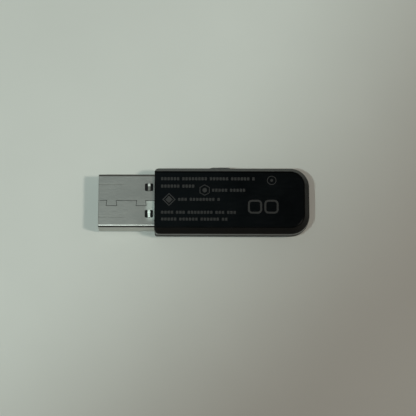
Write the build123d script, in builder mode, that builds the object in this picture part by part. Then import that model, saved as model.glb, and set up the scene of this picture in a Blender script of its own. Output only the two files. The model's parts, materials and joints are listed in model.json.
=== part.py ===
"""Compact USB wireless adapter: a Standard-A plug on a black moulded casing.

Frame: +X runs from the plug's mouth to the rounded end, +Z is the flat printed
cover, +Y is the side with the push button.  z = 0 is the flat outer face of the
housing that the adapter lies on, Y = 0 is the middle plane, and X = 0 is half way
along the overall length.  All values are millimetres at real size.
"""
from build123d import *
import math
import os

os.makedirs("parts", exist_ok=True)

# ---------------------------------------------------------------- driving sizes
overall_length = 46.25
plug_exposed = 12.3
case_width = 14.84
case_height = 6.6
bevel_run = 1.01          # width of the bevel round the cover, seen from above
bevel_drop = 1.4          # depth of the same bevel
base_radius = 3.0         # rounding between side wall and resting face
cavity_radius = 0.6       # the same rounding inside, along the cavity's floor
end_corner = 4.2          # plan radius at the free end
plug_end_corner = 1.0     # plan radius at the plug end
rim_land = 0.18           # flat land between cover gap and bevel
cover_gap = 0.08
cover_thickness = 0.95
floor = 1.0
cavity_half = 6.05
plug_end_wall = 1.2

plug_w, plug_h = 12.0, 4.5
plug_sheet = 0.30
plug_corner = 0.55
plug_length = 18.75
plug_mid_z = 3.34
seam_gap = 0.10
window_y = 3.0
window_front, window_back = 10.18, 12.03      # measured from the mouth

contact_pitch = (-3.5, -1.0, 1.0, 3.5)
contact_t = 0.20
contact_w = 1.0

board_t = 0.8
board_top = 3.32

button_x = 3.55
button_len = 4.5
button_z0, button_z1 = 3.52, 5.20
button_proud = 0.30
button_travel = 0.25

# ---------------------------------------------------------------- derived sizes
x_mouth = -overall_length / 2
x_end = overall_length / 2
x_case = x_mouth + plug_exposed
half_w = case_width / 2
seat_z = case_height - cover_thickness
rim_half = half_w - bevel_run - rim_land
rim_x = x_end - bevel_run - rim_land
rim_corner = end_corner - bevel_run - rim_land
cavity_x0 = x_case + plug_end_wall
cavity_x1 = rim_x - 0.15
plug_z0 = plug_mid_z - plug_h / 2
plug_z1 = plug_mid_z + plug_h / 2
x_plug_rear = x_mouth + plug_length
contact_z0 = board_top
board_bottom = board_top - board_t

hook_x = (-2.6, 9.9, 18.3)
peg_xy = ((5.6, -4.55), (16.55, 4.35))
led_xy = (3.9, 0.0)

# ---------------------------------------------------------------- room for the works
with BuildPart() as works_room:
    with BuildSketch(Plane.XY.offset(floor)) as cavity_plan:
        with Locations(((cavity_x0 + cavity_x1) / 2, 0)):
            Rectangle(cavity_x1 - cavity_x0, 2 * cavity_half)
        fillet(cavity_plan.vertices().group_by(Axis.X)[-1], 2.95)
    extrude(amount=seat_z - floor)
    fillet(works_room.faces().sort_by(Axis.Z)[0].edges().sort_by(Axis.X)[1:], cavity_radius)

# ---------------------------------------------------------------- housing
with BuildPart() as main_housing:
    with BuildSketch(Plane.XY) as outer_plan:
        with Locations(((x_case - 4 + x_end) / 2, 0)):
            Rectangle(x_end - x_case + 4, case_width)
        fillet(outer_plan.vertices().group_by(Axis.X)[-1], end_corner)
    extrude(amount=case_height)
    top_face = main_housing.faces().sort_by(Axis.Z)[-1]
    chamfer(
        top_face.edges().sort_by(Axis.X)[1:],
        length=bevel_run,
        length2=bevel_drop,
        reference=top_face,
    )
    base_face = main_housing.faces().sort_by(Axis.Z)[0]
    fillet(base_face.edges().sort_by(Axis.X)[1:], base_radius)
    # the plug end is cut square, with small rounded corners in plan
    with BuildSketch(Plane.XY) as end_trim:
        with Locations(((x_case + x_end + 2) / 2, 0)):
            Rectangle(x_end - x_case + 2, case_width)
        fillet(end_trim.vertices().group_by(Axis.X)[0], plug_end_corner)
    extrude(amount=case_height, mode=Mode.INTERSECT)
    # bevel's lower edge is softened where it meets the side wall
    wall_line = (
        main_housing.edges()
        .filter_by_position(Axis.Z, case_height - bevel_drop - 0.01, case_height - bevel_drop + 0.01)
    )
    fillet(wall_line, 0.22)
    add(works_room.part, mode=Mode.SUBTRACT)
    # seat of the flat cover, open at the plug end
    with BuildSketch(Plane.XY.offset(seat_z)) as seat_plan:
        with Locations(((x_case - 1 + rim_x) / 2, 0)):
            Rectangle(rim_x - x_case + 1, 2 * rim_half)
        fillet(seat_plan.vertices().group_by(Axis.X)[-1], rim_corner)
    extrude(amount=case_height - seat_z + 0.5, mode=Mode.SUBTRACT)
    # slot in the end wall that the plug passes through
    with BuildSketch(Plane.YZ.offset(x_case - 0.5)) as plug_slot:
        with Locations((0, (plug_z0 - 0.02 + seat_z + 0.2) / 2)):
            Rectangle(plug_w + 0.06, seat_z + 0.2 - plug_z0 + 0.02)
        fillet(plug_slot.vertices().group_by(Axis.Y)[0], 0.45)
    extrude(amount=plug_end_wall + 0.6, mode=Mode.SUBTRACT)
    # snap recesses in both side walls
    for hx in hook_x:
        for side in (-1, 1):
            with Locations((hx, side * (cavity_half + 0.11), 4.53)):
                Box(2.1, 0.42, 0.72, mode=Mode.SUBTRACT)
    # opening for the side button
    with BuildSketch(Plane.XZ.offset(-cavity_half + 0.2)) as button_hole:
        with Locations((button_x, (button_z0 + button_z1) / 2)):
            RectangleRounded(button_len + 0.16, button_z1 - button_z0 + 0.16, 0.40)
    extrude(amount=-3.0, mode=Mode.SUBTRACT)
    # hole for the light pipe
    with Locations((led_xy[0], led_xy[1], floor)):
        Hole(radius=1.03, depth=floor + 0.5)
    # posts that carry the board, two of them with locating pegs
    with BuildSketch(Plane.XY.offset(floor - 0.1)) as posts:
        with Locations(*peg_xy):
            Circle(1.0)
        with Locations((-0.2, 4.3), (-0.2, -4.3), (12.6, -4.9), (20.4, 0.0)):
            Rectangle(0.8, 2.0)
    extrude(amount=board_bottom - floor + 0.1)
    with BuildSketch(Plane.XY.offset(board_bottom - 0.1)) as pegs:
        with Locations(*peg_xy):
            Circle(0.45)
    extrude(amount=1.55)
    chamfer(main_housing.edges().filter_by(GeomType.CIRCLE)
            .filter_by_position(Axis.Z, board_bottom + 1.40, board_bottom + 1.50), 0.12)
    # rib behind the plug's rear edge
    with BuildSketch(Plane.XY.offset(floor - 0.1)) as stop_rib:
        with Locations((x_plug_rear + 0.33, 0)):
            Rectangle(0.5, 6.0)
    extrude(amount=1.0)
main_housing.part.label = "main_housing"
export_step(main_housing.part, "parts/main_housing.step")

# ---------------------------------------------------------------- flat cover
cover_half = rim_half - cover_gap
cover_x1 = rim_x - cover_gap
with BuildPart() as label_cover:
    with BuildSketch(Plane.XY.offset(seat_z)) as cover_plan:
        with Locations(((x_case + cover_x1) / 2, 0)):
            Rectangle(cover_x1 - x_case, 2 * cover_half)
        fillet(cover_plan.vertices().group_by(Axis.X)[-1], rim_corner - cover_gap)
    extrude(amount=cover_thickness)
    cover_top = label_cover.faces().sort_by(Axis.Z)[-1].edges().sort_by(Axis.X)
    fillet(cover_top[0:1], 0.30)
    rim_edges = (
        label_cover.faces().sort_by(Axis.Z)[-1].edges().sort_by(Axis.X)[1:]
    )
    fillet(rim_edges, 0.07)
    # snap hooks
    for hx in hook_x:
        for side in (-1, 1):
            with BuildSketch(Plane.YZ.offset(hx - 0.9)) as hook:
                with BuildLine():
                    Polyline(
                        (side * 5.30, seat_z + 0.2),
                        (side * 5.90, seat_z + 0.2),
                        (side * 5.90, 4.84),
                        (side * 6.18, 4.78),
                        (side * 6.18, 4.62),
                        (side * 5.80, 4.05),
                        (side * 5.42, 4.05),
                        (side * 5.30, seat_z + 0.2),
                    )
                make_face()
            extrude(amount=1.8)
    # sockets that hold the board down over its pegs
    with BuildSketch(Plane.XY.offset(board_top + 0.02)) as sockets:
        with Locations(*peg_xy):
            Circle(1.0)
            Circle(0.55, mode=Mode.SUBTRACT)
    extrude(amount=seat_z - board_top + 0.1)
    # rib behind the plug's rear edge
    with BuildSketch(Plane.XY.offset(4.85)) as cover_stop:
        with Locations((x_plug_rear + 0.33, 0)):
            Rectangle(0.5, 6.0)
    extrude(amount=seat_z - 4.85 + 0.1)
    # stiffening ribs between the hooks
    with BuildSketch(Plane.XY.offset(seat_z - 0.35)) as cover_ribs:
        with Locations((-1.9, 0)):
            Rectangle(0.6, 9.0)
        with Locations((18.3, 0)):
            Rectangle(0.6, 9.8)
    extrude(amount=0.5)
label_cover.part.label = "label_cover"
export_step(label_cover.part, "parts/label_cover.step")

# ---------------------------------------------------------------- plug shell
seam = [
    (-0.3, 0.0), (1.86, 0.0), (1.70, -1.18), (4.05, -1.18), (3.90, 0.0),
    (8.42, 0.0), (8.28, -1.18), (10.48, -1.18), (10.34, 0.0), (plug_length + 0.3, 0.0),
]
with BuildPart() as plug_shell:
    with BuildSketch(Plane.YZ.offset(x_mouth)) as shell_ring:
        with Locations((0, plug_mid_z)):
            RectangleRounded(plug_w, plug_h, plug_corner)
            RectangleRounded(
                plug_w - 2 * plug_sheet,
                plug_h - 2 * plug_sheet,
                plug_corner - plug_sheet,
                mode=Mode.SUBTRACT,
            )
    extrude(amount=plug_length)
    # rolled lead-in round the mouth
    mouth_edges = plug_shell.faces().sort_by(Axis.X)[0].outer_wire().edges()
    fillet(mouth_edges, 0.13)
    # folded sheet meets along the middle in a seam with two dovetail tabs
    with BuildSketch(Plane.XY.offset(plug_z1 - plug_sheet - 0.1)) as seam_cut:
        for (xa, ya), (xb, yb) in zip(seam, seam[1:]):
            run = math.hypot(xb - xa, yb - ya)
            turn = math.degrees(math.atan2(yb - ya, xb - xa))
            with Locations(Location((x_mouth + (xa + xb) / 2, (ya + yb) / 2, 0), (0, 0, turn))):
                Rectangle(run + seam_gap, seam_gap)
    extrude(amount=plug_sheet + 0.3, mode=Mode.SUBTRACT)
    # two windows behind the tabs
    with BuildSketch(Plane.XY.offset(plug_z1 - plug_sheet - 0.1)) as windows:
        with Locations(
            (x_mouth + (window_front + window_back) / 2, window_y),
            (x_mouth + (window_front + window_back) / 2, -window_y),
        ):
            RectangleRounded(window_back - window_front, 1.75, 0.30)
    extrude(amount=plug_sheet + 0.3, mode=Mode.SUBTRACT)
    # latch tongue in each window, bent down into the insulator
    for yc in (window_y, -window_y):
        with BuildSketch(
            Plane.YZ.offset(x_mouth + (window_front + window_back) / 2 - 0.275)
        ) as tongue:
            with BuildLine():
                Polyline(
                    (yc + 0.98, plug_z1),
                    (yc + 0.80, plug_z1),
                    (yc + 0.42, plug_z1 - 0.05),
                    (yc - 0.70, plug_z1 - 0.34),
                    (yc - 0.76, plug_z1 - 0.58),
                    (yc + 0.40, plug_z1 - 0.30),
                    (yc + 0.98, plug_z1 - 0.26),
                    (yc + 0.98, plug_z1),
                )
            make_face()
        extrude(amount=0.55)
    # catch windows in the opposite face
    with BuildSketch(Plane.XY.offset(plug_z0 - 0.1)) as catch_windows:
        with Locations((x_mouth + 5.16 + 0.975, 2.25), (x_mouth + 5.16 + 0.975, -2.25)):
            RectangleRounded(1.95, 2.5, 0.15)
    extrude(amount=plug_sheet + 0.2, mode=Mode.SUBTRACT)
    # solder legs behind the side walls
    with Locations(
        (x_plug_rear + 0.85, plug_w / 2 - plug_sheet / 2, 2.95),
        (x_plug_rear + 0.85, -plug_w / 2 + plug_sheet / 2, 2.95),
    ):
        Box(1.9, plug_sheet, 1.7)
plug_shell.part.label = "plug_shell"
export_step(plug_shell.part, "parts/plug_shell.step")

# ---------------------------------------------------------------- plug insulator
ins_half = plug_w / 2 - plug_sheet - 0.03
ins_top = plug_z1 - plug_sheet - 0.02
ins_bottom = plug_z0 + plug_sheet + 0.02
ins_tongue = contact_z0 + 0.04
x_ins0 = x_mouth + 0.4
x_block = x_mouth + 9.2
x_ins1 = x_plug_rear - 0.4
with BuildPart() as plug_insulator:
    with BuildSketch(Plane.YZ.offset(x_ins0)) as ins_tongue_section:
        with Locations((0, (ins_tongue + ins_top) / 2)):
            Rectangle(2 * ins_half, ins_top - ins_tongue)
        fillet(ins_tongue_section.vertices().group_by(Axis.Y)[-1], 0.24)
    extrude(amount=x_ins1 - x_ins0)
    with BuildSketch(Plane.YZ.offset(x_block)) as ins_block_section:
        with Locations((0, (ins_bottom + ins_top) / 2)):
            RectangleRounded(2 * ins_half, ins_top - ins_bottom, 0.24)
    extrude(amount=x_ins1 - x_block)
    # lead-in under the tongue's front edge
    chamfer(
        plug_insulator.edges().filter_by(Axis.Y)
        .filter_by_position(Axis.X, x_ins0 - 0.01, x_ins0 + 0.01)
        .sort_by(Axis.Z)[0],
        0.30,
    )
    # channels for the contacts
    for cy in contact_pitch:
        with Locations(((x_mouth + 1.1 + x_ins1 + 0.5) / 2, cy, contact_z0 + contact_t / 2)):
            Box(x_ins1 + 0.5 - x_mouth - 1.1, contact_w + 0.02, contact_t + 0.02, mode=Mode.SUBTRACT)
    # pockets for the latch tongues
    for yc in (window_y, -window_y):
        with Locations((x_mouth + (window_front + window_back) / 2, yc, ins_top - 0.25)):
            Box(0.75, 1.85, 0.70, mode=Mode.SUBTRACT)
plug_insulator.part.label = "plug_insulator"
export_step(plug_insulator.part, "parts/plug_insulator.step")

# ---------------------------------------------------------------- plug contacts
# supply and ground lead, the two data lines stop 1 mm further back
x_tail = x_plug_rear + 1.65
with BuildPart() as contact_ground:
    with BuildSketch(Plane.XY.offset(contact_z0)) as ground_plan:
        with Locations(((x_mouth + 1.25 + x_ins1) / 2, contact_pitch[0])):
            Rectangle(x_ins1 - x_mouth - 1.25, contact_w)
        with Locations(((x_ins1 + x_tail) / 2, contact_pitch[0])):
            Rectangle(x_tail - x_ins1, 0.7)
    extrude(amount=contact_t)
    fillet(contact_ground.faces().sort_by(Axis.X)[0].edges().sort_by(Axis.Z)[0], 0.15)
contact_ground.part.label = "contact_ground"
export_step(contact_ground.part, "parts/contact_ground.step")

with BuildPart() as contact_data_plus:
    with BuildSketch(Plane.XY.offset(contact_z0)) as plus_plan:
        with Locations(((x_mouth + 2.25 + x_ins1) / 2, contact_pitch[1])):
            Rectangle(x_ins1 - x_mouth - 2.25, contact_w)
        with Locations(((x_ins1 + x_tail) / 2, contact_pitch[1])):
            Rectangle(x_tail - x_ins1, 0.7)
    extrude(amount=contact_t)
    fillet(contact_data_plus.faces().sort_by(Axis.X)[0].edges().sort_by(Axis.Z)[0], 0.15)
contact_data_plus.part.label = "contact_data_plus"
export_step(contact_data_plus.part, "parts/contact_data_plus.step")

with BuildPart() as contact_data_minus:
    with BuildSketch(Plane.XY.offset(contact_z0)) as minus_plan:
        with Locations(((x_mouth + 2.25 + x_ins1) / 2, contact_pitch[2])):
            Rectangle(x_ins1 - x_mouth - 2.25, contact_w)
        with Locations(((x_ins1 + x_tail) / 2, contact_pitch[2])):
            Rectangle(x_tail - x_ins1, 0.7)
    extrude(amount=contact_t)
    fillet(contact_data_minus.faces().sort_by(Axis.X)[0].edges().sort_by(Axis.Z)[0], 0.15)
contact_data_minus.part.label = "contact_data_minus"
export_step(contact_data_minus.part, "parts/contact_data_minus.step")

with BuildPart() as contact_supply:
    with BuildSketch(Plane.XY.offset(contact_z0)) as supply_plan:
        with Locations(((x_mouth + 1.25 + x_ins1) / 2, contact_pitch[3])):
            Rectangle(x_ins1 - x_mouth - 1.25, contact_w)
        with Locations(((x_ins1 + x_tail) / 2, contact_pitch[3])):
            Rectangle(x_tail - x_ins1, 0.7)
    extrude(amount=contact_t)
    fillet(contact_supply.faces().sort_by(Axis.X)[0].edges().sort_by(Axis.Z)[0], 0.15)
contact_supply.part.label = "contact_supply"
export_step(contact_supply.part, "parts/contact_supply.step")

# ---------------------------------------------------------------- circuit board
x_board0 = x_plug_rear + 0.08
x_board1 = cavity_x1 - 0.45
with BuildPart() as circuit_board:
    with BuildSketch(Plane.XY.offset(board_bottom)) as board_plan:
        with Locations(((x_board0 + x_board1) / 2, 0)):
            Rectangle(x_board1 - x_board0, 11.7)
        fillet(board_plan.vertices().group_by(Axis.X)[-1], 2.5)
        # notches for the plug's solder legs
        with Locations((x_board0 + 0.9, 5.85), (x_board0 + 0.9, -5.85)):
            Rectangle(2.1, 0.42, mode=Mode.SUBTRACT)
        with Locations(*peg_xy):
            Circle(0.55, mode=Mode.SUBTRACT)
    extrude(amount=board_t)
circuit_board.part.label = "circuit_board"
export_step(circuit_board.part, "parts/circuit_board.step")

# ---------------------------------------------------------------- radio section
radio_xy = (11.4, -0.4)
with BuildPart() as radio_chip:
    with BuildSketch(Plane.XY.offset(board_top)) as radio_plan:
        with Locations(radio_xy):
            Rectangle(5.0, 5.0)
    extrude(amount=0.85)
    chamfer(radio_chip.edges().filter_by(Axis.Z).sort_by(SortBy.DISTANCE)[0], 0.3)
    with Locations((radio_xy[0] - 1.8, radio_xy[1] + 1.8, board_top + 0.85)):
        Hole(radius=0.25, depth=0.06)
radio_chip.part.label = "radio_chip"
export_step(radio_chip.part, "parts/radio_chip.step")

with BuildPart() as timing_crystal:
    with BuildSketch(Plane.XY.offset(board_top)) as crystal_base:
        with Locations((13.6, 3.3)):
            RectangleRounded(2.0, 1.2, 0.15)
    extrude(amount=0.18)
    with BuildSketch(Plane.XY.offset(board_top + 0.18)) as crystal_lid:
        with Locations((13.6, 3.3)):
            RectangleRounded(1.76, 0.98, 0.20)
    extrude(amount=0.30)
timing_crystal.part.label = "timing_crystal"
export_step(timing_crystal.part, "parts/timing_crystal.step")

can_x0, can_x1, can_half, can_top = 6.9, 15.3, 4.3, 4.72
with BuildPart() as shield_can:
    with BuildSketch(Plane.XY.offset(board_top)) as can_plan:
        with Locations(((can_x0 + can_x1) / 2, 0)):
            RectangleRounded(can_x1 - can_x0, 2 * can_half, 0.35)
    extrude(amount=can_top - board_top)
    fillet(shield_can.faces().sort_by(Axis.Z)[-1].edges(), 0.22)
    with BuildSketch(Plane.XY.offset(board_top)) as can_room:
        with Locations(((can_x0 + can_x1) / 2, 0)):
            RectangleRounded(can_x1 - can_x0 - 0.4, 2 * can_half - 0.4, 0.18)
    extrude(amount=can_top - board_top - 0.2, mode=Mode.SUBTRACT)
    with BuildSketch(Plane.XY.offset(can_top - 0.4)) as can_vents:
        with Locations(((can_x0 + can_x1) / 2, 0)):
            with GridLocations(1.5, 1.5, 4, 4):
                Circle(0.3)
    extrude(amount=0.6, mode=Mode.SUBTRACT)
shield_can.part.label = "shield_can"
export_step(shield_can.part, "parts/shield_can.step")

# printed antenna: a meander of copper at the free end of the board
with BuildPart() as antenna_trace:
    with BuildSketch(Plane.XY.offset(board_top)) as antenna_plan:
        with Locations((17.5, -0.1)):
            Rectangle(0.45, 7.6)
        for k in range(4):
            with Locations((18.85, -3.675 + 2.05 * k)):
                Rectangle(2.4, 0.45)
        with Locations((20.05, -2.65)):
            Rectangle(0.45, 2.5)
        with Locations((20.05, 1.45)):
            Rectangle(0.45, 2.5)
        with Locations((16.4, -2.4)):
            Rectangle(2.2, 0.45)
    extrude(amount=0.05)
antenna_trace.part.label = "antenna_trace"
export_step(antenna_trace.part, "parts/antenna_trace.step")

# ---------------------------------------------------------------- other chips
with BuildPart() as memory_chip:
    with BuildSketch(Plane.XY.offset(board_top)) as memory_plan:
        with Locations((2.2, -0.9)):
            Rectangle(3.0, 2.0)
    extrude(amount=0.60)
    with Locations((1.1, -0.3, board_top + 0.60)):
        Hole(radius=0.16, depth=0.05)
memory_chip.part.label = "memory_chip"
export_step(memory_chip.part, "parts/memory_chip.step")

reg_x, reg_y = 1.4, -3.9
with BuildPart() as voltage_regulator:
    with BuildSketch(Plane.XY.offset(board_top + 0.08)) as reg_body:
        with Locations((reg_x, reg_y)):
            Rectangle(2.9, 1.6)
    extrude(amount=1.0)
    chamfer(voltage_regulator.faces().sort_by(Axis.Z)[-1].edges(), 0.12)
    # three leads on one side, two on the other
    for lx, side in ((-0.95, -1), (0.0, -1), (0.95, -1), (-0.95, 1), (0.95, 1)):
        with BuildSketch(Plane.YZ.offset(reg_x + lx - 0.2)) as reg_lead:
            with BuildLine():
                Polyline(
                    (reg_y + side * 0.7, board_top + 0.60),
                    (reg_y + side * 1.02, board_top + 0.60),
                    (reg_y + side * 1.12, board_top + 0.14),
                    (reg_y + side * 1.35, board_top + 0.14),
                    (reg_y + side * 1.35, board_top),
                    (reg_y + side * 1.02, board_top),
                    (reg_y + side * 0.92, board_top + 0.46),
                    (reg_y + side * 0.7, board_top + 0.46),
                    (reg_y + side * 0.7, board_top + 0.60),
                )
            make_face()
        extrude(amount=0.4)
voltage_regulator.part.label = "voltage_regulator"
export_step(voltage_regulator.part, "parts/voltage_regulator.step")

with BuildPart() as surge_protector:
    with BuildSketch(Plane.XY.offset(board_top)) as surge_plan:
        with Locations((-1.45, 0.0)):
            Rectangle(1.2, 2.4)
    extrude(amount=0.5)
surge_protector.part.label = "surge_protector"
export_step(surge_protector.part, "parts/surge_protector.step")

with BuildPart() as supply_inductor:
    with BuildSketch(Plane.XY.offset(board_top)) as inductor_plan:
        with Locations((-0.6, 3.7)):
            RectangleRounded(2.0, 1.6, 0.15)
    extrude(amount=1.0)
    chamfer(supply_inductor.faces().sort_by(Axis.Z)[-1].edges(), 0.08)
supply_inductor.part.label = "supply_inductor"
export_step(supply_inductor.part, "parts/supply_inductor.step")

# small parts of one kind share a node, as separate solids
cap_xy = [(-1.5, -2.3), (-1.5, -3.1), (3.9, -2.9), (4.3, 1.1), (0.6, 1.3), (8.2, -3.2), (8.2, 2.9), (9.6, 3.3)]
with BuildPart() as capacitors:
    for cx, cy in cap_xy:
        with Locations((cx, cy, board_top + 0.25)):
            Box(1.0, 0.5, 0.5)
capacitors.part.label = "capacitors"
export_step(capacitors.part, "parts/capacitors.step")

res_xy = [(0.6, 2.15), (4.6, -1.9), (5.0, 0.1), (-1.5, 2.1), (11.3, 3.3), (11.3, -3.7)]
with BuildPart() as resistors:
    for rx, ry in res_xy:
        with Locations((rx, ry, board_top + 0.175)):
            Box(1.0, 0.5, 0.35)
resistors.part.label = "resistors"
export_step(resistors.part, "parts/resistors.step")

# ---------------------------------------------------------------- status light
with BuildPart() as status_led:
    with BuildSketch(Plane.XY.offset(board_bottom - 0.30)) as led_base:
        with Locations(led_xy):
            Rectangle(1.6, 0.8)
    extrude(amount=0.30)
    with BuildSketch(Plane.XY.offset(board_bottom - 0.55)) as led_lens:
        with Locations(led_xy):
            Rectangle(1.0, 0.8)
    extrude(amount=0.25)
status_led.part.label = "status_led"
export_step(status_led.part, "parts/status_led.step")

with BuildPart() as light_pipe:
    with BuildSketch(Plane.XY.offset(0.06)) as pipe_stem:
        with Locations(led_xy):
            Circle(1.0)
    extrude(amount=floor - 0.06)
    with BuildSketch(Plane.XY.offset(floor)) as pipe_head:
        with Locations(led_xy):
            Circle(1.45)
    extrude(amount=0.75)
    chamfer(light_pipe.edges().sort_by(Axis.Z)[0], 0.08)
light_pipe.part.label = "light_pipe"
export_step(light_pipe.part, "parts/light_pipe.step")

# ---------------------------------------------------------------- tact switch
sw_x0, sw_x1 = button_x - 1.8, button_x + 1.8
sw_y0, sw_y1 = 3.15, 5.05
sw_top = board_top + 1.45
with BuildPart() as switch_base:
    with Locations(((sw_x0 + sw_x1) / 2, (sw_y0 + sw_y1) / 2, (board_top + sw_top) / 2)):
        Box(sw_x1 - sw_x0, sw_y1 - sw_y0, sw_top - board_top)
    # chamber for dome and plunger head, open at the top
    with Locations((button_x, 4.15, board_top + 0.28 + 1.0)):
        Box(2.2, 1.10, 2.0, mode=Mode.SUBTRACT)
    # slot in the front wall for the plunger's stem
    with Locations((button_x, 5.0, board_top + 0.38 + 1.0)):
        Box(1.48, 0.8, 2.0, mode=Mode.SUBTRACT)
switch_base.part.label = "switch_base"
export_step(switch_base.part, "parts/switch_base.step")

with BuildPart() as switch_cover:
    with Locations((button_x, (sw_y0 + sw_y1) / 2, sw_top + 0.075)):
        Box(sw_x1 - sw_x0 + 0.3, sw_y1 - sw_y0, 0.15)
    with Locations(
        (sw_x0 - 0.075, (sw_y0 + sw_y1) / 2, board_top + 0.95),
        (sw_x1 + 0.075, (sw_y0 + sw_y1) / 2, board_top + 0.95),
    ):
        Box(0.15, 1.1, 1.1)
switch_cover.part.label = "switch_cover"
export_step(switch_cover.part, "parts/switch_cover.step")

with BuildPart() as switch_terminals:
    for tx in (sw_x0 - 0.17, sw_x1 + 0.17):
        for ty in (sw_y0 + 0.16, sw_y1 - 0.16):
            with Locations((tx, ty, board_top + 0.1)):
                Box(0.34, 0.30, 0.2)
switch_terminals.part.label = "switch_terminals"
export_step(switch_terminals.part, "parts/switch_terminals.step")

# snap dome: a thin bowed spring plate between chamber back and plunger
with BuildPart() as switch_dome:
    with BuildSketch(Plane.XY.offset(board_top + 0.34)) as dome_plan:
        with BuildLine():
            outer = ThreePointArc((button_x - 1.0, 3.66), (button_x, 4.10), (button_x + 1.0, 3.66))
            Line(outer @ 1, (button_x + 0.93, 3.62))
            ThreePointArc((button_x + 0.93, 3.62), (button_x, 4.03), (button_x - 0.93, 3.62))
            Line((button_x - 0.93, 3.62), outer @ 0)
        make_face()
    extrude(amount=0.95)
switch_dome.part.label = "switch_dome"
export_step(switch_dome.part, "parts/switch_dome.step")

with BuildPart() as switch_plunger:
    with Locations((button_x, 4.28, board_top + 0.86)):
        Box(2.0, 0.30, 0.94)
    with Locations((button_x, 4.90, board_top + 0.90)):
        Box(1.40, 1.10, 0.86)
    fillet(switch_plunger.faces().sort_by(Axis.Y)[-1].edges(), 0.12)
switch_plunger.part.label = "switch_plunger"
export_step(switch_plunger.part, "parts/switch_plunger.step")

# ---------------------------------------------------------------- side button
button_mid_z = (button_z0 + button_z1) / 2
with BuildPart() as side_button:
    with BuildSketch(Plane.XZ.offset(-5.95)) as button_section:
        with Locations((button_x, button_mid_z)):
            RectangleRounded(button_len, button_z1 - button_z0, 0.34)
    extrude(amount=-(half_w + button_proud - 5.95))
    # both ends ramp down to the casing's side
    with BuildSketch(Plane.XY.offset(button_z0 - 0.5)) as button_plan:
        with BuildLine():
            Polyline(
                (button_x - button_len / 2, 5.9),
                (button_x - button_len / 2, half_w + 0.02),
                (button_x - button_len / 2 + 0.55, half_w + button_proud),
                (button_x + button_len / 2 - 0.55, half_w + button_proud),
                (button_x + button_len / 2, half_w + 0.02),
                (button_x + button_len / 2, 5.9),
                close=True,
            )
        make_face()
    extrude(amount=button_z1 - button_z0 + 1.0, mode=Mode.INTERSECT)
    # the upper edge slopes like the casing's bevel
    with BuildSketch(Plane.YZ.offset(button_x - button_len / 2 - 0.5)) as button_side:
        with BuildLine():
            Polyline(
                (5.9, button_z0 - 0.1),
                (half_w + button_proud - 0.10, button_z0 - 0.1),
                (half_w + button_proud, button_z0 + 0.18),
                (half_w + button_proud, button_z1 - 0.42),
                (half_w + 0.01, button_z1),
                (half_w + 0.01, button_z1 + 0.1),
                (5.9, button_z1 + 0.1),
                close=True,
            )
        make_face()
    extrude(amount=button_len + 1.0, mode=Mode.INTERSECT)
    # retaining flange behind the wall
    with BuildSketch(Plane.XZ.offset(-5.55)) as button_flange:
        with Locations((button_x, (3.46 + 5.46) / 2)):
            Rectangle(button_len + 1.0, 2.0)
    extrude(amount=-0.44)
    # boss that bears on the switch plunger
    with BuildSketch(Plane.XZ.offset(-5.47)) as button_boss:
        with Locations((button_x, board_top + 0.90)):
            Rectangle(1.8, 0.9)
    extrude(amount=-0.2)
side_button.part.label = "side_button"
export_step(side_button.part, "parts/side_button.step")
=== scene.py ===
"""Looks of the USB wireless adapter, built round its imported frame. Metres, +Z up."""
import json
import math
import random

import bmesh
import bpy
from mathutils import Matrix, Vector


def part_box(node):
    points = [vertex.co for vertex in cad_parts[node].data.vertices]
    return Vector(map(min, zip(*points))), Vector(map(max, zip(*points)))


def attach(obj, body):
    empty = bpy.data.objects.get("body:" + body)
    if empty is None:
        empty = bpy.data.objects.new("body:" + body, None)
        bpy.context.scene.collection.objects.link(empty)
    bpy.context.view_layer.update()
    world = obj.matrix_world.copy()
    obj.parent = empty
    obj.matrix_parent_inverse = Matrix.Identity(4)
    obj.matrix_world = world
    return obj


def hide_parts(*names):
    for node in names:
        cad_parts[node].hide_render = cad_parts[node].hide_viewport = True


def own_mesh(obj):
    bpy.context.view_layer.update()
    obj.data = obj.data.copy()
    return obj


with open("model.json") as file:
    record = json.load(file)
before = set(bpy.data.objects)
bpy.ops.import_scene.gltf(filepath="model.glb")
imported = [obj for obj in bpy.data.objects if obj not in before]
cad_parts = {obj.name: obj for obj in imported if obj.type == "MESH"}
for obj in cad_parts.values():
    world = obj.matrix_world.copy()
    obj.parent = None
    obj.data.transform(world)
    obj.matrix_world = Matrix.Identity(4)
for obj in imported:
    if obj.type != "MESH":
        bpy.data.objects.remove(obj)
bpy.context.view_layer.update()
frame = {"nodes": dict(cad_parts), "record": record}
MM = 0.001
scene = bpy.context.scene
scene.view_settings.view_transform = "Standard"

# ------------------------------------------------------------------ material kit
def new_material(name, rough, metallic=0.0, specular=0.5, coat=0.0, coat_rough=0.1):
    mat = bpy.data.materials.new(name)
    mat.use_nodes = True
    tree = mat.node_tree
    shader = tree.nodes["Principled BSDF"]
    shader.inputs["Roughness"].default_value = rough
    shader.inputs["Metallic"].default_value = metallic
    shader.inputs["Specular IOR Level"].default_value = specular
    shader.inputs["Coat Weight"].default_value = coat
    shader.inputs["Coat Roughness"].default_value = coat_rough
    return mat, tree, shader


def place(tree, stretch=(1, 1, 1)):
    """Object coordinates, stretched, so that detail keeps its real size."""
    coords = tree.nodes.new("ShaderNodeTexCoord")
    mapping = tree.nodes.new("ShaderNodeMapping")
    mapping.inputs["Scale"].default_value = stretch
    tree.links.new(coords.outputs["Object"], mapping.inputs["Vector"])
    return mapping.outputs["Vector"]


def noise(tree, vector, size_mm, detail=3.0, rough=0.55):
    """Noise whose blobs are about size_mm across."""
    n = tree.nodes.new("ShaderNodeTexNoise")
    n.inputs["Scale"].default_value = 1.0 / (size_mm * MM)
    n.inputs["Detail"].default_value = detail
    n.inputs["Roughness"].default_value = rough
    tree.links.new(vector, n.inputs["Vector"])
    return n.outputs["Fac"]


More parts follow.
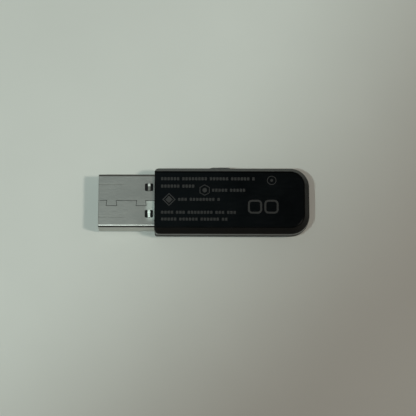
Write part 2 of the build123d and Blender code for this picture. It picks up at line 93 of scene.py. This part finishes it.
def spread(tree, value, low, high, lo=0.3, hi=0.7):
    m = tree.nodes.new("ShaderNodeMapRange")
    m.inputs["From Min"].default_value = lo
    m.inputs["From Max"].default_value = hi
    m.inputs["To Min"].default_value = low
    m.inputs["To Max"].default_value = high
    tree.links.new(value, m.inputs["Value"])
    return m.outputs["Result"]


def ramp(tree, value, stops):
    r = tree.nodes.new("ShaderNodeValToRGB")
    while len(r.color_ramp.elements) < len(stops):
        r.color_ramp.elements.new(0.5)
    for e, (at, colour) in zip(r.color_ramp.elements, stops):
        e.position = at
        e.color = (*colour, 1)
    tree.links.new(value, r.inputs["Fac"])
    return r.outputs["Color"]


def bump(tree, shader, height, depth_mm, strength=1.0, over=None):
    b = tree.nodes.new("ShaderNodeBump")
    b.inputs["Strength"].default_value = strength
    b.inputs["Distance"].default_value = depth_mm * MM
    tree.links.new(height, b.inputs["Height"])
    if over is not None:
        tree.links.new(over, b.inputs["Normal"])
    tree.links.new(b.outputs["Normal"], shader.inputs["Normal"])
    return b.outputs["Normal"]


def math_node(tree, kind, a, b=None):
    n = tree.nodes.new("ShaderNodeMath")
    n.operation = kind
    for i, v in enumerate((a, b)):
        if v is None:
            continue
        if isinstance(v, (int, float)):
            n.inputs[i].default_value = v
        else:
            tree.links.new(v, n.inputs[i])
    return n.outputs[0]


def scaled(c, f):
    return tuple(x * f for x in c)


def moulded(name, colour, rough, grain_mm=0.09, grain_depth=0.0022, specular=0.5, matte_below=None):
    """Satin moulded plastic: fine spark-eroded grain, faint flow marks, small scuffs; matte below a height, if given."""
    mat, t, s = new_material(name, rough, specular=specular)
    v = place(t)
    broad = noise(t, v, 7.0, 2.0)
    fine = noise(t, v, grain_mm, 2.0)
    t.links.new(
        ramp(t, broad, [(0.30, scaled(colour, 0.82)), (0.70, scaled(colour, 1.18))]),
        s.inputs["Base Color"],
    )
    scuff = noise(t, place(t, (0.25, 1.0, 1.0)), 0.55, 5.0, 0.7)
    both = math_node(t, "ADD", spread(t, broad, -0.03, 0.03), spread(t, scuff, rough - 0.02, rough + 0.05, 0.4, 0.8))
    if matte_below is not None:
        axes = t.nodes.new("ShaderNodeSeparateXYZ")
        t.links.new(v, axes.inputs[0])
        low, high = (matte_below - 0.45) * MM, (matte_below + 0.45) * MM
        both = math_node(t, "ADD", both, spread(t, axes.outputs["Z"], 0.08, 0.0, low, high))
        t.links.new(spread(t, axes.outputs["Z"], 0.025, specular, low, high), s.inputs["Specular IOR Level"])
    t.links.new(both, s.inputs["Roughness"])
    bump(t, s, fine, grain_depth, 0.6)
    return mat


def plain_metal(name, colour, rough, stretch=(1, 1, 1), line_mm=0.05, depth=0.001):
    mat, t, s = new_material(name, rough, metallic=1.0)
    v = place(t, stretch)
    lines = noise(t, v, line_mm, 3.0)
    blotch = noise(t, place(t), 0.8, 3.0)
    t.links.new(
        ramp(t, blotch, [(0.3, scaled(colour, 0.86)), (0.7, scaled(colour, 1.06))]),
        s.inputs["Base Color"],
    )
    t.links.new(spread(t, lines, rough - 0.07, rough + 0.09), s.inputs["Roughness"])
    bump(t, s, lines, depth, 0.5)
    return mat


def speckled(name, colour, rough, size=0.08, depth=0.003, contrast=0.2, specular=0.5, coat=0.0):
    mat, t, s = new_material(name, rough, specular=specular, coat=coat)
    v = place(t)
    n = noise(t, v, size, 4.0)
    t.links.new(
        ramp(t, n, [(0.3, scaled(colour, 1 - contrast)), (0.7, scaled(colour, 1 + contrast))]),
        s.inputs["Base Color"],
    )
    t.links.new(spread(t, n, rough - 0.05, rough + 0.05), s.inputs["Roughness"])
    bump(t, s, n, depth, 0.5)
    return mat


# ------------------------------------------------------------------ plug steel
X_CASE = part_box("main_housing")[0].x      # plug end of the casing


def plug_steel():
    """Plated steel with lengthwise brushing, insertion marks and faint waviness; painted shade on the sunk latch
    tongues and the long bends, and a painted highlight beside the casing.
    """
    mat, t, s = new_material("plug_steel_look", 0.38, metallic=1.0)
    xyz = place(t)
    split = t.nodes.new("ShaderNodeSeparateXYZ")
    t.links.new(xyz, split.inputs[0])
    brush = noise(t, place(t, (0.035, 1.0, 1.0)), 0.045, 4.0, 0.6)
    broad = noise(t, place(t, (0.5, 1.0, 1.0)), 5.0, 2.0)
    # where a socket's springs have rubbed: (Y in mm, width, from X, to X, depth)
    x_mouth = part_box("plug_shell")[0].x
    marks = [
        (3.62, 0.15, 0.2, 6.6, 0.85), (-3.70, 0.16, 0.1, 6.6, 0.90),
        (2.60, 0.09, 0.4, 5.2, 0.30), (1.95, 0.08, 0.4, 4.6, 0.25),
        (-2.40, 0.09, 0.3, 5.6, 0.35), (-3.15, 0.10, 0.3, 6.0, 0.42),
    ]
    total = None
    wobble = spread(t, noise(t, place(t, (0.25, 1, 1)), 0.9, 2.0), -0.05 * MM, 0.05 * MM)
    y = math_node(t, "ADD", split.outputs["Y"], wobble)
    for at, width, start, stop, depth in marks:
        off = math_node(t, "ABSOLUTE", math_node(t, "SUBTRACT", y, at * MM))
        band = t.nodes.new("ShaderNodeMapRange")
        band.interpolation_type = "SMOOTHSTEP"
        band.inputs["From Min"].default_value = width * MM
        band.inputs["From Max"].default_value = 0.25 * width * MM
        band.inputs["To Min"].default_value = 0.0
        band.inputs["To Max"].default_value = depth
        t.links.new(off, band.inputs["Value"])
        ends = t.nodes.new("ShaderNodeMapRange")
        ends.interpolation_type = "SMOOTHSTEP"
        ends.inputs["From Min"].default_value = x_mouth + stop * MM
        ends.inputs["From Max"].default_value = x_mouth + (stop - 1.6) * MM
        t.links.new(split.outputs["X"], ends.inputs["Value"])
        one = math_node(t, "MULTIPLY", band.outputs[0], ends.outputs[0])
        total = one if total is None else math_node(t, "MAXIMUM", total, one)
    broken = math_node(t, "MULTIPLY", total, spread(t, noise(t, place(t, (0.15, 1, 1)), 0.3, 3.0), 0.55, 1.0, 0.35, 0.6))
    base = ramp(t, broad, [(0.3, (0.407, 0.409, 0.386)), (0.7, (0.494, 0.491, 0.463))])

    def step(value, start, stop):
        """Smooth 0 to 1 as value (metres) goes from start to stop (millimetres)."""
        m = t.nodes.new("ShaderNodeMapRange")
        m.interpolation_type = "SMOOTHSTEP"
        m.inputs["From Min"].default_value = start * MM
        m.inputs["From Max"].default_value = stop * MM
        t.links.new(value, m.inputs["Value"])
        return m.outputs["Result"]

    # painted shade: everything below the flat top face and within 4.6 mm of the middle line, that is the latch tongues
    # pressed down out of the sheet into the windows, has its colour painted darker; it is also rougher than the flat
    # face
    z_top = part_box("plug_shell")[1].z / MM
    side = math_node(t, "ABSOLUTE", split.outputs["Y"])
    painted_tongue_shade = math_node(
        t, "MULTIPLY",
        step(split.outputs["Z"], z_top - 0.03, z_top - 0.12),
        step(side, 4.9, 4.6),
    )
    painted_tongue_shade = math_node(t, "MULTIPLY", painted_tongue_shade, step(split.outputs["Z"], z_top - 1.2, z_top - 1.0))
    tongue_shade_mix = t.nodes.new("ShaderNodeMix")
    tongue_shade_mix.data_type = "RGBA"
    t.links.new(painted_tongue_shade, tongue_shade_mix.inputs["Factor"])
    t.links.new(base, tongue_shade_mix.inputs["A"])
    tongue_shade_mix.inputs["B"].default_value = (0.10, 0.102, 0.095, 1)
    base = tongue_shade_mix.outputs["Result"]
    # painted shade: the outer bend along the sheet's long edges is painted darker than the faces it joins, in place of
    # the darker reflection it shows
    painted_bend_shade = math_node(
        t, "MULTIPLY",
        step(split.outputs["Z"], z_top - 0.03, z_top - 0.09),
        step(split.outputs["Z"], z_top - 0.42, z_top - 0.26),
    )
    painted_bend_shade = math_node(t, "MULTIPLY", painted_bend_shade, step(side, 5.55, 5.70))
    bend_shade_mix = t.nodes.new("ShaderNodeMix")
    bend_shade_mix.data_type = "RGBA"
    t.links.new(painted_bend_shade, bend_shade_mix.inputs["Factor"])
    t.links.new(base, bend_shade_mix.inputs["A"])
    bend_shade_mix.inputs["B"].default_value = (0.10, 0.102, 0.095, 1)
    base = bend_shade_mix.outputs["Result"]
    # painted highlight: a pale greenish area between the seam and the near window, next to the casing, stands in for
    # the cool light's sheen there; it is also rougher
    x_rear = X_CASE / MM
    painted_highlight_patch = math_node(t, "MULTIPLY", step(split.outputs["X"], x_rear - 2.3, x_rear - 1.2), step(split.outputs["Y"], 0.05, -0.25))
    painted_highlight_patch = math_node(t, "MULTIPLY", painted_highlight_patch, step(split.outputs["Y"], -5.2, -3.6))
    painted_highlight_patch = math_node(t, "MULTIPLY", painted_highlight_patch, spread(t, noise(t, xyz, 1.1, 3.0), 0.5, 1.0))
    highlight_mix = t.nodes.new("ShaderNodeMix")
    highlight_mix.data_type = "RGBA"
    t.links.new(painted_highlight_patch, highlight_mix.inputs["Factor"])
    t.links.new(base, highlight_mix.inputs["A"])
    highlight_mix.inputs["B"].default_value = (0.60, 0.66, 0.62, 1)
    base = highlight_mix.outputs["Result"]
    # fine dimples of the pressed sheet
    pits = spread(t, noise(t, xyz, 0.35, 3.0, 0.6), 0.0, 1.0, 0.35, 0.65)
    mix = t.nodes.new("ShaderNodeMix")
    mix.data_type = "RGBA"
    t.links.new(broken, mix.inputs["Factor"])
    t.links.new(base, mix.inputs["A"])
    mix.inputs["B"].default_value = (0.20, 0.204, 0.188, 1)
    t.links.new(mix.outputs["Result"], s.inputs["Base Color"])
    r = math_node(t, "ADD", spread(t, brush, 0.34, 0.45), math_node(t, "MULTIPLY", broken, 0.12))
    r = math_node(t, "ADD", r, math_node(t, "MULTIPLY", math_node(t, "MAXIMUM", painted_tongue_shade, painted_highlight_patch), 0.12))
    t.links.new(r, s.inputs["Roughness"])
    under = t.nodes.new("ShaderNodeBump")
    under.inputs["Strength"].default_value = 0.5
    under.inputs["Distance"].default_value = 0.010 * MM
    t.links.new(pits, under.inputs["Height"])
    first = t.nodes.new("ShaderNodeBump")
    first.inputs["Strength"].default_value = 0.35
    first.inputs["Distance"].default_value = 0.0012 * MM
    t.links.new(brush, first.inputs["Height"])
    t.links.new(under.outputs["Normal"], first.inputs["Normal"])
    bump(t, s, math_node(t, "SUBTRACT", 0.0, broken), 0.008, 0.8, over=first.outputs["Normal"])
    return mat


MATERIALS = {
    "housing_plastic": moulded(
        "housing_plastic_look", (0.0016, 0.0016, 0.0016), 0.24, specular=0.30,
        matte_below=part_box("main_housing")[0].z / MM + 4.05,
    ),
    "cover_plastic": moulded("cover_plastic_look", (0.0004, 0.0011, 0.0016), 0.22, specular=0.34),
    "button_plastic": moulded("button_plastic_look", (0.0032, 0.0033, 0.0033), 0.27),
    "plug_steel": plug_steel(),
    "insulator_plastic": speckled("insulator_look", (0.004, 0.004, 0.0045), 0.62, specular=0.25),
    "contact_gold": plain_metal("contact_gold_look", (0.83, 0.62, 0.28), 0.26, (0.1, 1, 1)),
    "board_laminate": speckled("board_look", (0.012, 0.085, 0.035), 0.30, 0.25, 0.004, 0.25, coat=0.3),
    "chip_epoxy": speckled("chip_epoxy_look", (0.02, 0.02, 0.021), 0.55, 0.05),
    "crystal_metal": plain_metal("crystal_metal_look", (0.72, 0.71, 0.68), 0.25),
    "shield_steel": plain_metal("shield_steel_look", (0.66, 0.66, 0.63), 0.30, (0.1, 1, 1)),
    "antenna_copper": plain_metal("antenna_copper_look", (0.78, 0.58, 0.30), 0.35),
    "ferrite": speckled("ferrite_look", (0.07, 0.07, 0.075), 0.6, 0.06),
    "capacitor_ceramic": speckled("capacitor_look", (0.40, 0.26, 0.14), 0.5, 0.05),
    "resistor_film": speckled("resistor_look", (0.03, 0.03, 0.033), 0.4, 0.05),
    "led_body": speckled("led_look", (0.80, 0.78, 0.68), 0.35, 0.05, contrast=0.06),
    "pipe_clear": speckled("light_pipe_look", (0.62, 0.64, 0.64), 0.35, 0.06, contrast=0.08, coat=0.4),
    "switch_plastic": speckled("switch_plastic_look", (0.03, 0.03, 0.03), 0.45, 0.06),
    "dome_steel": plain_metal("dome_steel_look", (0.74, 0.73, 0.70), 0.22, (1, 1, 0.1)),
}

slot_of = {r["node"]: r["material_slot"] for r in frame["record"]["subparts"]}
for node, obj in frame["nodes"].items():
    look = MATERIALS[slot_of[node]]
    if len(obj.material_slots) == 0:
        obj.data.materials.append(look)
    for s in obj.material_slots:
        s.material = look


def finish_edges(node, width_mm, angle=35, segments=3):
    """Breaks a CAD node's sharp edges, so that they catch light as moulded or pressed ones do."""
    b = frame["nodes"][node].modifiers.new("edge_break", "BEVEL")
    b.width = width_mm * MM
    b.segments = segments
    b.limit_method = "ANGLE"
    b.angle_limit = math.radians(angle)
    b.harden_normals = False
    b.use_clamp_overlap = True


finish_edges("side_button", 0.08)
finish_edges("main_housing", 0.07)
finish_edges("label_cover", 0.05)
finish_edges("plug_shell", 0.04, segments=2)

# ------------------------------------------------------------------ printed marks
lo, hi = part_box("label_cover")
FACE_Z = hi.z
X0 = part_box("main_housing")[0].x          # plug end of the casing
PRINT_T = 0.006 * MM


def print_material(name, k):
    mat, t, s = new_material(name, 0.55)
    v = place(t)
    wear = noise(t, v, 0.18, 4.0, 0.7)
    t.links.new(
        ramp(t, wear, [(0.30, scaled((0.009, 0.0094, 0.0092), k)), (0.62, scaled((0.022, 0.0228, 0.0218), k))]),
        s.inputs["Base Color"],
    )
    bump(t, s, noise(t, v, 0.05, 2.0), 0.001, 0.5)
    return mat


INK = print_material("print_ink_look", 1.0)
FINE_INK = print_material("fine_print_ink_look", 0.62)


def add_prism(bm, outline, z0, z1):
    """A closed flat prism from a list of (x, y)."""
    bottom = [bm.verts.new((x, y, z0)) for x, y in outline]
    top = [bm.verts.new((x, y, z1)) for x, y in outline]
    n = len(outline)
    bm.faces.new(list(reversed(bottom)))
    bm.faces.new(top)
    for i in range(n):
        j = (i + 1) % n
        bm.faces.new((bottom[i], bottom[j], top[j], top[i]))


def add_ring(bm, outer, inner, z0, z1):
    """A closed flat ring between two outlines of equal length."""
    n = len(outer)
    ob = [bm.verts.new((x, y, z0)) for x, y in outer]
    ot = [bm.verts.new((x, y, z1)) for x, y in outer]
    ib = [bm.verts.new((x, y, z0)) for x, y in inner]
    it = [bm.verts.new((x, y, z1)) for x, y in inner]
    for i in range(n):
        j = (i + 1) % n
        bm.faces.new((ob[i], ob[j], ot[j], ot[i]))
        bm.faces.new((it[i], it[j], ib[j], ib[i]))
        bm.faces.new((ot[i], ot[j], it[j], it[i]))
        bm.faces.new((ib[i], ib[j], ob[j], ob[i]))


def piece(name, bm, material, body):
    mesh = bpy.data.meshes.new(name)
    bmesh.ops.recalc_face_normals(bm, faces=bm.faces)
    bm.to_mesh(mesh)
    bm.free()
    obj = bpy.data.objects.new(name, mesh)
    scene.collection.objects.link(obj)
    obj.data.materials.append(material)
    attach(obj, body)
    return obj


def rounded_rect(cx, cy, w, h, r, n=6):
    pts = []
    for sx, sy, a0 in ((1, 1, 0), (-1, 1, 90), (-1, -1, 180), (1, -1, 270)):
        for k in range(n + 1):
            a = math.radians(a0 + 90 * k / n)
            pts.append((cx + sx * (w / 2 - r) + r * math.cos(a), cy + sy * (h / 2 - r) + r * math.sin(a)))
    return pts


def polygon(cx, cy, r, sides, turn=0.0):
    return [(cx + r * math.cos(turn + 2 * math.pi * k / sides), cy + r * math.sin(turn + 2 * math.pi * k / sides)) for k in range(sides)]


def filler_row(name, x0, x1, y, height, seed):
    """A row of equal plain blocks in groups: it stands where a line of print would be, and spells nothing."""
    rng = random.Random(seed)
    bm = bmesh.new()
    pitch, width, tall = 0.70, 0.53, height * 0.62
    z0, z1 = FACE_Z - 0.002 * MM, FACE_Z + PRINT_T
    x = x0
    while x + width < x1:
        for _ in range(rng.choice((3, 4, 5, 6, 8))):
            if x + width > x1:
                break
            outline = rounded_rect(x + width / 2, y, width, tall, 0.12, 4)
            add_prism(bm, [(a * MM, b * MM) for a, b in outline], z0, z1)
            x += pitch
        x += 0.45
    return piece(name, bm, FINE_INK, "adapter")


# ------------------------------------------------------------------ camera
PITCH = math.radians(14.34)
ROLL = math.radians(0.124)
TARGET = Vector((0.91, -1.678, 5.6)) * MM
DISTANCE = 385.25 * MM
forward = Vector((0, math.sin(PITCH), -math.cos(PITCH)))
up = Vector((0, math.cos(PITCH), math.sin(PITCH)))
right = Vector((1, 0, 0))
right, up = (
    right * math.cos(ROLL) + up * math.sin(ROLL),
    up * math.cos(ROLL) - right * math.sin(ROLL),
)
cam_data = bpy.data.cameras.new("camera")
cam = bpy.data.objects.new("camera", cam_data)
scene.collection.objects.link(cam)
cam_data.sensor_width = 36.0
cam_data.lens = 36.0 * 1760.0 / 416.0
cam_data.clip_start = 0.005
cam_data.clip_end = 20.0
place_at = TARGET - forward * DISTANCE
cam.matrix_world = Matrix(
    (
        (right.x, up.x, -forward.x, place_at.x),
        (right.y, up.y, -forward.y, place_at.y),
        (right.z, up.z, -forward.z, place_at.z),
        (0, 0, 0, 1),
    )
)
scene.camera = cam

# ------------------------------------------------------------------ print, in mm from the cover's plug end and middle line
COVER_X = lo.x / MM
COVER_Y = 0.5 * (lo.y + hi.y) / MM


def row(name, x0, x1, y, height, seed):
    return filler_row(name, COVER_X + x0, COVER_X + x1, COVER_Y + y, height, seed)


row("print_row_1", 1.42, 22.58, 4.675, 1.135, 11)
row("print_row_2", 1.44, 8.88, 3.00, 1.145, 12)
row("print_row_3", 12.60, 20.92, 2.09, 1.087, 13)
row("print_row_4", 5.18, 14.57, 0.015, 1.048, 14)
row("print_row_5", 1.49, 18.28, -2.905, 1.077, 15)
row("print_row_6", 1.50, 16.32, -4.435, 1.070, 16)


def ring_mark(name, x, y, outer, inner, sides, turn=0.0, dot=None):
    x, y = COVER_X + x, COVER_Y + y
    z0, z1 = FACE_Z - 0.002 * MM, FACE_Z + PRINT_T
    bm = bmesh.new()
    add_ring(
        bm,
        [(a * MM, b * MM) for a, b in polygon(x, y, outer, sides, turn)],
        [(a * MM, b * MM) for a, b in polygon(x, y, inner, sides, turn)],
        z0,
        z1,
    )
    if dot:
        add_prism(bm, [(a * MM, b * MM) for a, b in polygon(x, y, dot, sides, turn)], z0, z1)
    return piece(name, bm, INK, "adapter")


ring_mark("mark_ring", 25.68, 4.34, 1.02, 0.88, 40, dot=0.30)
ring_mark("mark_hexagon", 11.00, 2.11, 1.28, 1.10, 6, math.pi / 6, dot=0.55)
ring_mark("mark_diamond", 3.21, -0.01, 1.45, 1.18, 4, 0.0, dot=0.80)


def square_mark(name, x, y, size, stroke):
    x, y = COVER_X + x, COVER_Y + y
    z0, z1 = FACE_Z - 0.002 * MM, FACE_Z + PRINT_T
    bm = bmesh.new()
    add_ring(
        bm,
        [(a * MM, b * MM) for a, b in rounded_rect(x, y, size, size, 0.9)],
        [(a * MM, b * MM) for a, b in rounded_rect(x, y, size - 2 * stroke, size - 2 * stroke, 0.9 - stroke)],
        z0,
        z1,
    )
    return piece(name, bm, INK, "adapter")


square_mark("mark_square_1", 22.00, -1.62, 3.1, 0.42)
square_mark("mark_square_2", 25.60, -1.61, 3.1, 0.42)

# ------------------------------------------------------------------ switch dome
# The dome is a sprung strip that flattens under the plunger; it is shown by a piece of its own, built in place of the
# CAD node, which is hidden.
dome_lo, dome_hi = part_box("switch_dome")


def arc(half, y_end, y_top, n=24):
    """Points from left to right of the arc through (-half, y_end), (0, y_top) and (half, y_end)."""
    rise = y_top - y_end
    r = (half * half + rise * rise) / (2 * rise)
    reach = math.asin(half / r)
    return [(r * math.sin(a), y_top - r + r * math.cos(a)) for a in (reach * (2 * i / n - 1) for i in range(n + 1))]


def dome_strip():
    mid, half = 0.5 * (dome_lo.x + dome_hi.x), 0.5 * (dome_hi.x - dome_lo.x)
    outer = arc(half, dome_lo.y + 0.04 * MM, dome_hi.y)
    inner = arc(0.93 * half, dome_lo.y, dome_hi.y - 0.07 * MM)
    bm = bmesh.new()
    rings = [[bm.verts.new((mid + x, y, z)) for x, y in side] for side in (outer, inner) for z in (dome_lo.z, dome_hi.z)]
    out_low, out_high, in_low, in_high = rings
    for i in range(len(outer) - 1):
        bm.faces.new((out_low[i], out_low[i + 1], out_high[i + 1], out_high[i]))
        bm.faces.new((in_low[i + 1], in_low[i], in_high[i], in_high[i + 1]))
        bm.faces.new((out_high[i], out_high[i + 1], in_high[i + 1], in_high[i]))
        bm.faces.new((out_low[i + 1], out_low[i], in_low[i], in_low[i + 1]))
    for i in (0, -1):
        bm.faces.new((out_low[i], out_high[i], in_high[i], in_low[i]))
    return piece("dome_spring", bm, MATERIALS["dome_steel"], "adapter")


dome = dome_strip()
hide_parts("switch_dome")
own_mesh(dome)

# ------------------------------------------------------------------ floor and light
floor_mat, t, s = new_material("floor_look", 0.55, specular=0.3)
v = place(t)
t.links.new(
    ramp(t, noise(t, v, 30.0, 3.0), [(0.3, (0.665, 0.690, 0.655)), (0.7, (0.690, 0.715, 0.680))]),
    s.inputs["Base Color"],
)
bump(t, s, noise(t, v, 0.5, 4.0), 0.01, 0.4)
fbm = bmesh.new()
bmesh.ops.create_grid(fbm, x_segments=1, y_segments=1, size=3.0)
floor_mesh = bpy.data.meshes.new("floor")
fbm.to_mesh(floor_mesh)
fbm.free()
floor_obj = bpy.data.objects.new("floor", floor_mesh)
scene.collection.objects.link(floor_obj)
floor_obj.data.materials.append(floor_mat)

# dim surroundings, a little brighter at mid height than overhead
world = bpy.data.worlds.new("studio")
scene.world = world
world.use_nodes = True
wt = world.node_tree
bg = wt.nodes["Background"]
bg.inputs["Strength"].default_value = 1.0
sky = wt.nodes.new("ShaderNodeTexCoord")
axes = wt.nodes.new("ShaderNodeSeparateXYZ")
wt.links.new(sky.outputs["Generated"], axes.inputs[0])
levels = wt.nodes.new("ShaderNodeValToRGB")
levels.color_ramp.interpolation = "EASE"
SKY = [(0.0, 0.03), (0.10, 0.035), (0.30, 0.12), (0.72, 0.12), (0.90, 0.05), (1.0, 0.02)]
while len(levels.color_ramp.elements) < len(SKY):
    levels.color_ramp.elements.new(0.5)
for e, (pos, k) in zip(levels.color_ramp.elements, SKY):
    e.position = pos
    e.color = (k, k * 0.94, k * 0.84, 1)
wt.links.new(axes.outputs["Z"], levels.inputs["Fac"])
wt.links.new(levels.outputs["Color"], bg.inputs["Color"])


def softbox(name, where, aim, size, power, colour, shape="DISK", size_y=None):
    d = bpy.data.lights.new(name, "AREA")
    d.shape = shape
    d.size = size
    if size_y:
        d.size_y = size_y
    d.energy = power
    d.color = colour
    o = bpy.data.objects.new(name, d)
    scene.collection.objects.link(o)
    o.location = where
    o.rotation_euler = (Vector(aim) - o.location).to_track_quat("-Z", "Y").to_euler()
    return o


def spot(name, where, aim, radius, power, colour, inner_deg, outer_deg):
    d = bpy.data.lights.new(name, "SPOT")
    d.energy = power
    d.color = colour
    d.spot_size = math.radians(2 * outer_deg)
    co, ci = math.cos(math.radians(outer_deg)), math.cos(math.radians(inner_deg))
    d.spot_blend = min(1.0, (ci - co) / (1 - co))
    d.shadow_soft_size = radius
    o = bpy.data.objects.new(name, d)
    scene.collection.objects.link(o)
    o.location = where
    o.rotation_euler = (Vector(aim) - o.location).to_track_quat("-Z", "Y").to_euler()
    return o


# a small warm light past the closed end: it throws the plug's short shadow
spot("warm_side", (0.364, -0.105, 0.588), (0, 0, 0), 0.035, 5.3, (1.0, 0.90, 0.80), 8.0, 16.0)
# a large cool light high on the plug's side, feathered off towards the near right
spot("cool_main", (-0.288, -0.256, 0.96), (-0.195, 0.155, 0.0), 0.032, 20.0, (0.86, 1.0, 0.96), 13.9, 15.1)
# a dim panel overhead on the plug's side, seen only as a faint sheen in flat faces
softbox("overhead_sheen", (-0.125, 0.17, 0.62), (-0.125, 0.17, 0.0), 0.26, 0.050, (0.60, 0.92, 1.0), "RECTANGLE", 0.40)
